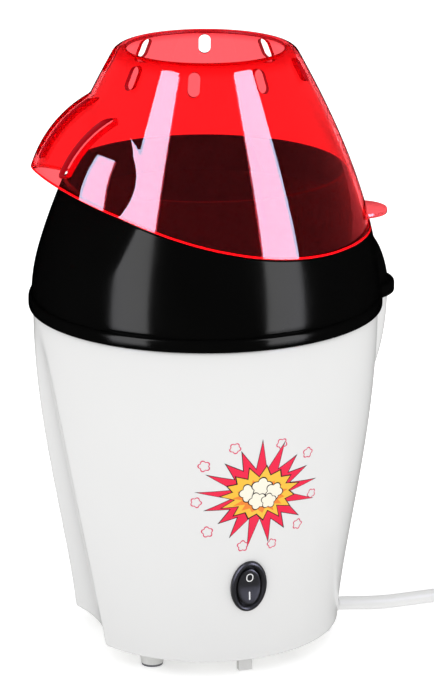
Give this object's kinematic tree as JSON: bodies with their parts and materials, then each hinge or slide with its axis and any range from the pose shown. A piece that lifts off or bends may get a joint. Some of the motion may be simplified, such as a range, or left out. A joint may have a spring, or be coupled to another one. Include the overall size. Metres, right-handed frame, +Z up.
{
  "type": "popcorn maker",
  "caption": "Hot-air popcorn maker: tapered white housing with a rocker switch, black lift-off chute cover and a clear red lid with a hooded spout.",
  "frame": {"origin": "on the table, under the middle of the body's box without the cord", "axes": "+Z up; -X towards the spout, +X the rear with the cord; -Y the side with the switch"},
  "size_m": [0.34, 0.1905, 0.305],
  "materials": {
    "white_plastic": "glossy injection moulded",
    "white_inner": "moulded, fine texture",
    "black_gloss": "high gloss injection moulded",
    "red_clear": "clear tinted, high gloss",
    "black_matte": "moulded, fine texture",
    "rocker_black": "satin",
    "grey_rubber": "matt",
    "aluminium": "drawn, satin",
    "steel": "zinc plated",
    "mica": "flaky, satin",
    "heater_wire": "oxidised",
    "ceramic": "unglazed",
    "copper": "enamelled winding",
    "bronze": "sintered",
    "brass": "satin",
    "magnet": "sintered",
    "board_green": "satin lacquer",
    "wire_brown": "satin",
    "cord_white": "satin PVC"
  },
  "bodies": {
    "base": {"housing": "white_plastic", "base_plate": "white_inner", "foot_pads": "grey_rubber", "base_screws": "steel", "top_deck": "black_matte", "deck_screws": "steel", "popping_chamber": "aluminium", "heater_sleeve": "steel", "mica_frame": "mica", "heater_coil": "heater_wire", "dropper_coil": "heater_wire", "thermostat": "ceramic", "thermal_fuse": "ceramic", "fan_shroud": "black_matte", "shroud_screws": "steel", "motor_can": "steel", "motor_end_cap": "black_matte", "motor_magnets": "magnet", "motor_bushes": "bronze", "motor_brushes": "magnet", "motor_screws": "steel", "rectifier_board": "board_green", "rectifier_diodes": "black_matte", "switch_bezel": "rocker_black", "switch_terminals": "brass", "terminal_block": "ceramic", "cord_clamp": "white_inner", "clamp_screws": "steel", "inner_cord": "cord_white", "live_wire": "wire_brown", "switched_wire": "wire_brown", "strain_relief": "cord_white", "power_cord": "cord_white", "power_cord_coil": "cord_white", "coil_tie": "black_matte", "plug_body": "cord_white", "plug_pins": "brass"},
    "rotor": {"motor_shaft": "steel", "armature": "copper", "commutator": "copper", "fan_impeller": "white_inner", "fan_clip": "steel"},
    "cover": {"chute_cover": "black_gloss"},
    "lid": {"lid": "red_clear"},
    "rocker": {"switch_rocker": "rocker_black"}
  },
  "joints": [
    {"name": "cover_lift", "type": "slide", "parent": "base", "child": "cover", "axis": [0, 0, 1], "range_m": [0, 0.06]},
    {"name": "lid_lift", "type": "slide", "parent": "cover", "child": "lid", "axis": [0, 0, 1], "range_m": [0, 0.06]},
    {"name": "rocker_tilt", "type": "hinge", "parent": "base", "child": "rocker", "pos_m": [-0.00525, -0.0724, 0.0495], "axis": [1, 0, 0], "range_deg": [0, 16]},
    {"name": "rotor_spin", "type": "hinge", "parent": "base", "child": "rotor", "pos_m": [-0.00525, 0, 0.06], "axis": [0, 0, 1], "continuous": true}
  ]
}
